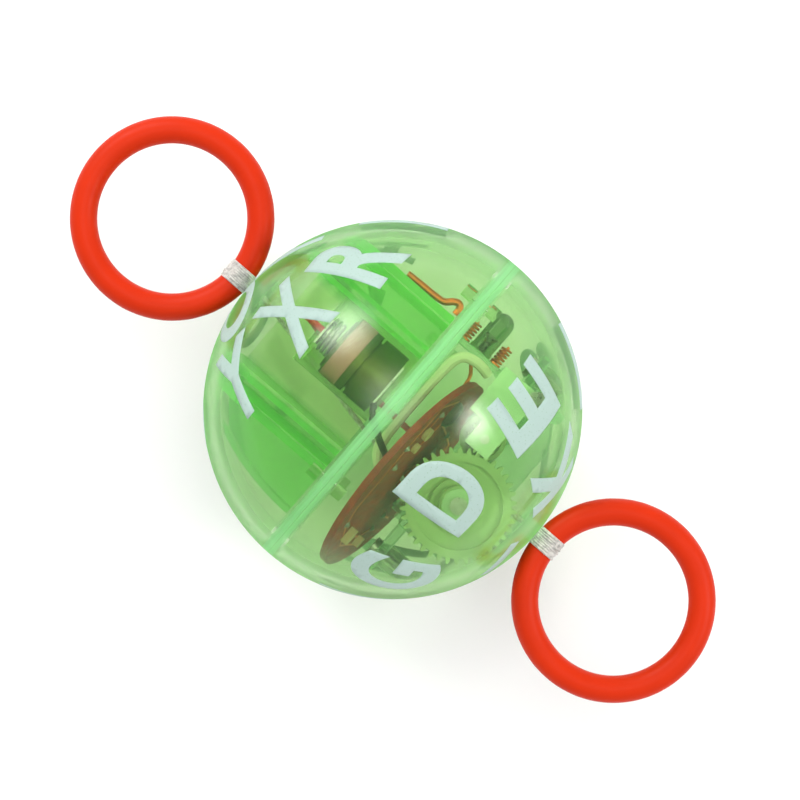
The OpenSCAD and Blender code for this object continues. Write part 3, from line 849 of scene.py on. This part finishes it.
def make_windings(looks):
    """The cord wound on the spool, in turns laid side by side."""
    bm = bmesh.new()
    rise = LAY_H - 2 * CORD_R
    last = WOUND_TURNS * WOUND_STEPS
    centres = []
    for i in range(last + 1):
        a = TURN * i / WOUND_STEPS
        z = -rise / 2 + rise * i / last
        centres.append(SPOOL + Vector((LAY_R * math.cos(a), LAY_R * math.sin(a), z)))
    lengths = [LAY_R * TURN * i / WOUND_STEPS for i in range(last + 1)]
    add_twisted(bm, centres, lengths, WOUND_R)
    new_piece("wound_cord", bm, looks["cord"], "spool", ["cord_windings"])


# ---- small pieces of the works ----


def board_point(out, y, z):
    """A point in the board's own frame: out of its right face, across it and up it, all in millimetres."""
    c, s = math.cos(BOARD_LEAN), math.sin(BOARD_LEAN)
    x = BOARD_T / 2 + out * MM
    return BOARD + Vector((x * c - z * MM * s, y * MM, x * s + z * MM * c))


DOME = profile_mm([(0, -0.05), (0.62, -0.05), (0.66, 0.02), (0.5, 0.16), (0.3, 0.4), (0.16, 0.52),
                   (0, 0.55)])
# Places across the board and up it, in millimetres.
SOLDER_SPOTS = [(-12, 12), (12, 12), (-11, -8), (-8, -8), (-5, -8), (8, 12), (5, 12), (-13.5, 2), (10, -4),
                (4, 15.5), (6.3, -4.1), (0.3, 12.9)]
TRACKS = [
    [(-12, 12), (-9, 14.5), (4, 15.5)], [(12, 12), (8, 12)], [(5, 12), (5, 9), (11, 7), (10, -4)],
    [(-11, -8), (-13.5, -4), (-13.5, 2)], [(-8, -8), (-8, -14)], [(-5, -8), (1, -12), (9, -12), (10, -4)],
    [(-12, 12), (-16, 4), (-15, -6)], [(4, 15.5), (13, 15), (15.5, 8)],
]
TRACK_R = 0.22 * MM
TRACK_STEPS = 6  # the points on each straight stretch of track
TRACK_PRESS = 0.8  # the share of each track's height that is pressed out of it


def make_solder(looks):
    """Solder domes on both faces of the board, at the legs of its parts and at the wire ends."""
    bm = bmesh.new()
    faces = [(y, z, face) for y, z in SOLDER_SPOTS for face in (1, -1)]
    for seed, (y, z, face) in enumerate(faces):
        place = board_point(0.01 if face > 0 else -BOARD_T / MM - 0.01, y, z)
        add_lathe(bm, DOME, place, BOARD_OUT * face, 14, 0.04, seed)
    new_piece("solder_joints", bm, looks["solder"], "ball")


def make_traces(looks):
    """Raised copper tracks on the face of the board that looks at the spool."""
    bm = bmesh.new()
    for route in TRACKS:
        points = [board_point(0.0, y, z) for y, z in route]
        dense = []
        for a, b in zip(points, points[1:]):
            dense += [a.lerp(b, i / TRACK_STEPS) for i in range(TRACK_STEPS)]
        add_tube(bm, dense + [points[-1]], TRACK_R, 6)
    for v in bm.verts:
        height = (v.co - board_point(0, 0, 0)).dot(BOARD_OUT)
        v.co -= BOARD_OUT * height * TRACK_PRESS
    new_piece("board_tracks", bm, looks["copper"], "ball")


WRAP_GAP = 0.01 * MM  # between the cell and its sleeve
WRAP_T = 0.06 * MM
WRAP_RIPPLE = 0.02 * MM
WRAP_RIPPLES = 8
WRAP_LIP = 0.05 * MM
WRAP_WELD = 1e-7  # corners of the sleeve that are nearer than this become one
WRAP_BARE = 1.1 * MM  # the sleeve is shorter than the cell by twice this
WRAP_SHIFT = 0.3 * MM  # and its middle is this far to the left of the cell's


def make_cell_wrap(looks):
    """A thin pink sleeve shrunk round the outer cell, with faint ripples."""
    bm = bmesh.new()
    r0 = CELL_R + WRAP_GAP
    r1 = r0 + WRAP_T
    half = CELL_T / 2 - WRAP_BARE
    profile = [(r0, -half), (r1, -half + WRAP_LIP)]
    for i in range(1, WRAP_RIPPLES):
        profile.append((r1 - WRAP_RIPPLE * (i % 2), -half + 2 * half * i / WRAP_RIPPLES))
    profile += [(r1, half - WRAP_LIP), (r0, half), (r0, -half)]
    add_lathe(bm, profile, CELL - Vector((WRAP_SHIFT, 0, 0)), Vector((1, 0, 0)), 64)
    bmesh.ops.remove_doubles(bm, verts=bm.verts, dist=WRAP_WELD)
    new_piece("cell_wrap", bm, looks["wrap"], "ball")


def make_led_inside(looks):
    """The cup and the post inside the light's lens."""
    middle = middle_of("led")
    base = Vector((middle.x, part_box("led")[0][1], middle.z))
    up = Vector((0, 1, 0))
    bm = bmesh.new()
    cup = profile_mm([(0, 0.3), (0.5, 0.3), (0.55, 2.6), (1.0, 3.2), (1.0, 3.5), (0.6, 3.1), (0, 3.0)])
    post = profile_mm([(0, 0.3), (0.3, 0.3), (0.3, 3.4), (0, 3.6)])
    add_lathe(bm, cup, base + mm(0, 0, 0.35), up, 20)
    add_lathe(bm, post, base + mm(0, 0, -1.1), up, 12)
    new_piece("led_inside", bm, looks["steel"], "ball")


FLASH_R = 0.11 * MM
FLASH_SUNK = 0.10 * MM  # how deep the middle of the parting line lies in the ring
FLASH_WAVER = 0.012 * MM
FLASH_STEPS = 160


def make_ring_flash(side, looks):
    """The fine parting line that the mould leaves round the outside of a ring."""
    bm = bmesh.new()
    rng = random.Random(5 + side)
    points = []
    for i in range(FLASH_STEPS):
        a = TURN * i / FLASH_STEPS
        r = RING_R + TUBE_R - FLASH_SUNK + FLASH_WAVER * rng.uniform(-1, 1)
        points.append(Vector((side * RING_X + r * math.cos(a), r * math.sin(a), 0)))
    add_tube(bm, points, FLASH_R, 6, closed=True)
    name = side_name(side)
    new_piece(f"{name}_ring_flash", bm, looks["ring"], f"{name}_ring")


# ---- the scene ----

make_camera()
make_room()
looks = make_materials()
dress_cad(looks)
make_letters("left_letters", LEFT_LETTERS, looks["ink"])
make_letters("right_letters", RIGHT_LETTERS, looks["ink"])
for side in (-1, 1):
    make_hitch(side, looks)
    make_neck(side, looks)
    make_ring_flash(side, looks)
make_cord(1, looks)
make_cord(-1, looks)
make_windings(looks)
make_solder(looks)
make_traces(looks)
make_cell_wrap(looks)
make_led_inside(looks)
